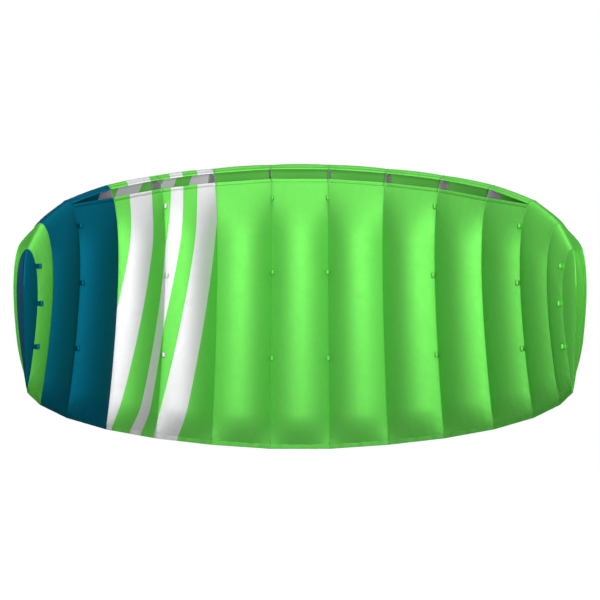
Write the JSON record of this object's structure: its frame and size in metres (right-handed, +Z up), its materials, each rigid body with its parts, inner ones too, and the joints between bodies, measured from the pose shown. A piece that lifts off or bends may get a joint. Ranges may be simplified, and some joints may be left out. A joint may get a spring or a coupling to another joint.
{
  "type": "foil kite",
  "caption": "Inflated ram-air foil kite, bent in one arc, with open front intakes, ballooned cells and bridle tabs under the ribs.",
  "frame": {"origin": "on the centre line, midway between the bores of the two middle bridle tabs of the centre cell", "axes": "+X to the kite's side along the span, +Z up along the chord to the nose with the intakes, -Y out of the hollow lower side towards the flyer"},
  "size_m": [1.1746, 0.4926, 0.6473],
  "materials": {
    "canopy_green": "bright green ripstop with a light sheen",
    "canopy_white": "white ripstop with slanted green bands",
    "canopy_teal": "dark teal ripstop with a light sheen",
    "rib_fabric": "grey coated rib cloth",
    "binding_green": "green woven edge tape, stitched",
    "binding_white": "white woven edge tape, stitched",
    "binding_teal": "teal woven edge tape, stitched",
    "webbing_green": "green woven tape, folded and stitched",
    "webbing_white": "white woven tape, folded and stitched",
    "webbing_teal": "teal woven tape, folded and stitched"
  },
  "bodies": {
    "cell_centre": {"top_skin_centre": "canopy_green", "bottom_skin_centre": "canopy_green", "edge_binding_centre": "binding_green", "rib_r1": "rib_fabric", "rib_l1": "rib_fabric", "bridle_tabs_centre": "webbing_green"},
    "cell_r1": {"top_skin_r1": "canopy_green", "bottom_skin_r1": "canopy_green", "edge_binding_r1": "binding_green", "rib_r2": "rib_fabric"},
    "cell_r2": {"top_skin_r2": "canopy_green", "bottom_skin_r2": "canopy_green", "edge_binding_r2": "binding_green", "rib_r3": "rib_fabric", "bridle_tabs_r3": "webbing_green"},
    "cell_r3": {"top_skin_r3": "canopy_green", "bottom_skin_r3": "canopy_green", "edge_binding_r3": "binding_green", "rib_r4": "rib_fabric"},
    "cell_r4": {"top_skin_r4": "canopy_green", "bottom_skin_r4": "canopy_green", "edge_binding_r4": "binding_green", "rib_r5": "rib_fabric", "bridle_tabs_r5": "webbing_green"},
    "cell_r5": {"top_skin_r5": "canopy_green", "bottom_skin_r5": "canopy_green", "edge_binding_r5": "binding_green", "rib_r6": "rib_fabric"},
    "cell_r6": {"top_skin_r6": "canopy_green", "bottom_skin_r6": "canopy_green", "edge_binding_r6": "binding_green", "tip_panel_r": "canopy_green", "bridle_tabs_r7": "webbing_green"},
    "cell_l1": {"top_skin_l1": "canopy_green", "bottom_skin_l1": "canopy_green", "edge_binding_l1": "binding_green", "rib_l2": "rib_fabric"},
    "cell_l2": {"top_skin_l2": "canopy_white", "bottom_skin_l2": "canopy_white", "edge_binding_l2": "binding_white", "rib_l3": "rib_fabric", "bridle_tabs_l3": "webbing_white"},
    "cell_l3": {"top_skin_l3": "canopy_white", "bottom_skin_l3": "canopy_white", "edge_binding_l3": "binding_white", "rib_l4": "rib_fabric"},
    "cell_l4": {"top_skin_l4": "canopy_teal", "bottom_skin_l4": "canopy_teal", "edge_binding_l4": "binding_teal", "rib_l5": "rib_fabric", "bridle_tabs_l5": "webbing_teal"},
    "cell_l5": {"top_skin_l5": "canopy_teal", "bottom_skin_l5": "canopy_teal", "edge_binding_l5": "binding_teal", "rib_l6": "rib_fabric"},
    "cell_l6": {"top_skin_l6": "canopy_green", "bottom_skin_l6": "canopy_green", "edge_binding_l6": "binding_green", "tip_panel_l": "canopy_teal", "bridle_tabs_l7": "webbing_teal"}
  },
  "joints": [
    {"name": "flex_r1", "type": "hinge", "parent": "cell_centre", "child": "cell_r1", "pos_m": [0.06291, 0.00677, 0], "axis": [0, 0, -1], "range_deg": [0, 4], "stiffness_Nm_per_rad": 0.2},
    {"name": "flex_r2", "type": "hinge", "parent": "cell_r1", "child": "cell_r2", "pos_m": [0.18487, -0.01726, 0], "axis": [0, 0, -1], "range_deg": [0, 4]},
    {"name": "flex_r3", "type": "hinge", "parent": "cell_r2", "child": "cell_r3", "pos_m": [0.29792, -0.06598, 0], "axis": [0, 0, -1], "range_deg": [0, 4]},
    {"name": "flex_r4", "type": "hinge", "parent": "cell_r3", "child": "cell_r4", "pos_m": [0.39451, -0.13639, 0], "axis": [0, 0, -1], "range_deg": [0, 4]},
    {"name": "flex_r5", "type": "hinge", "parent": "cell_r4", "child": "cell_r5", "pos_m": [0.46751, -0.21965, 0], "axis": [0, 0, -1], "range_deg": [0, 4]},
    {"name": "flex_r6", "type": "hinge", "parent": "cell_r5", "child": "cell_r6", "pos_m": [0.514, -0.29995, 0], "axis": [0, 0, -1], "range_deg": [0, 4]},
    {"name": "flex_l1", "type": "hinge", "parent": "cell_centre", "child": "cell_l1", "pos_m": [-0.06291, 0.00677, 0], "axis": [0, 0, 1], "range_deg": [0, 4], "stiffness_Nm_per_rad": 0.2},
    {"name": "flex_l2", "type": "hinge", "parent": "cell_l1", "child": "cell_l2", "pos_m": [-0.18487, -0.01726, 0], "axis": [0, 0, 1], "range_deg": [0, 4]},
    {"name": "flex_l3", "type": "hinge", "parent": "cell_l2", "child": "cell_l3", "pos_m": [-0.29792, -0.06598, 0], "axis": [0, 0, 1], "range_deg": [0, 4]},
    {"name": "flex_l4", "type": "hinge", "parent": "cell_l3", "child": "cell_l4", "pos_m": [-0.39451, -0.13639, 0], "axis": [0, 0, 1], "range_deg": [0, 4]},
    {"name": "flex_l5", "type": "hinge", "parent": "cell_l4", "child": "cell_l5", "pos_m": [-0.46751, -0.21965, 0], "axis": [0, 0, 1], "range_deg": [0, 4]},
    {"name": "flex_l6", "type": "hinge", "parent": "cell_l5", "child": "cell_l6", "pos_m": [-0.514, -0.29995, 0], "axis": [0, 0, 1], "range_deg": [0, 4]}
  ],
  "couplings": [
    {"joint": "flex_r2", "follows": "flex_r1", "ratio": 1},
    {"joint": "flex_r3", "follows": "flex_r1", "ratio": 1},
    {"joint": "flex_r4", "follows": "flex_r1", "ratio": 1},
    {"joint": "flex_r5", "follows": "flex_r1", "ratio": 1},
    {"joint": "flex_r6", "follows": "flex_r1", "ratio": 1},
    {"joint": "flex_l2", "follows": "flex_l1", "ratio": 1},
    {"joint": "flex_l3", "follows": "flex_l1", "ratio": 1},
    {"joint": "flex_l4", "follows": "flex_l1", "ratio": 1},
    {"joint": "flex_l5", "follows": "flex_l1", "ratio": 1},
    {"joint": "flex_l6", "follows": "flex_l1", "ratio": 1}
  ]
}
